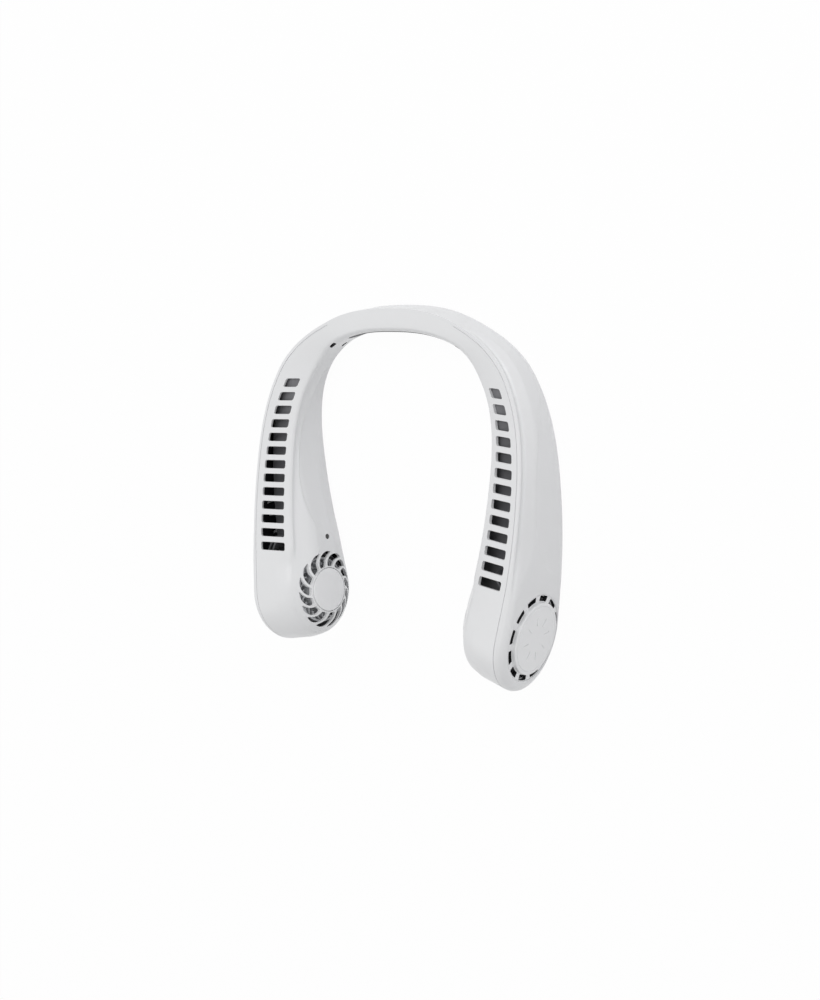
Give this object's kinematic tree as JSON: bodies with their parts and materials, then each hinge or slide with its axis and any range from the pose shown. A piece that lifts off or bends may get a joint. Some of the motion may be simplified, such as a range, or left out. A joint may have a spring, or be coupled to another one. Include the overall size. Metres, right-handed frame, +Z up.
{
  "type": "electric neck fan",
  "caption": "U-shaped electric fan worn round the neck, with slotted arms and a blower with a spiral intake grille in each rounded head.",
  "frame": {"origin": "middle of the bounding box, on the plane that the flat underside rests on", "axes": "+Z up, +Y to the back of the neck, the open side of the U faces -Y, +X to the right arm"},
  "size_m": [0.2046, 0.2102, 0.0604],
  "materials": {
    "frame_plastic": "satin",
    "cover_plastic": "satin",
    "cap_plastic": "satin",
    "impeller_plastic": "matte",
    "motor_steel": "satin",
    "magnet": "matte",
    "bearing_bronze": "satin",
    "motor_windings": "satin",
    "alloy": "satin",
    "guide_plastic": "matte",
    "cell_wrap": "satin",
    "board": "satin",
    "black_plastic": "matte",
    "lens_plastic": "gloss",
    "wire_sleeve": "matte",
    "screw_steel": "satin",
    "pad_rubber": "matte"
  },
  "bodies": {
    "housing": {"neck_frame": "frame_plastic", "right_cover": "cover_plastic", "left_cover": "cover_plastic", "right_cap": "cap_plastic", "left_cap": "cap_plastic", "right_grille_disc": "cap_plastic", "left_grille_disc": "cap_plastic", "right_bearing": "bearing_bronze", "left_bearing": "bearing_bronze", "right_stator": "motor_windings", "left_stator": "motor_windings", "right_motor_base": "alloy", "left_motor_base": "alloy", "right_air_guide": "guide_plastic", "left_air_guide": "guide_plastic", "right_cell": "cell_wrap", "left_cell": "cell_wrap", "main_board": "board", "usb_socket": "motor_steel", "power_switch": "black_plastic", "status_lens": "lens_plastic", "wire_harness": "wire_sleeve", "motor_screws": "screw_steel", "board_screws": "screw_steel", "neck_pad": "pad_rubber"},
    "right_rotor": {"right_impeller": "impeller_plastic", "right_rotor_can": "motor_steel", "right_magnet_ring": "magnet", "right_shaft": "motor_steel"},
    "left_rotor": {"left_impeller": "impeller_plastic", "left_rotor_can": "motor_steel", "left_magnet_ring": "magnet", "left_shaft": "motor_steel"},
    "button": {"power_button": "cap_plastic", "switch_stem": "black_plastic"}
  },
  "joints": [
    {"name": "right_fan_spin", "type": "hinge", "parent": "housing", "child": "right_rotor", "pos_m": [0.07777, -0.07338, 0.0288], "axis": [0.9902, -0.1394, 0], "continuous": true},
    {"name": "left_fan_spin", "type": "hinge", "parent": "housing", "child": "left_rotor", "pos_m": [-0.07777, -0.07338, 0.0288], "axis": [-0.9902, -0.1394, 0], "continuous": true},
    {"name": "power_button_press", "type": "slide", "parent": "housing", "child": "button", "axis": [0, 0, 1], "range_m": [0, 0.0005], "stiffness_N_per_m": 800}
  ]
}
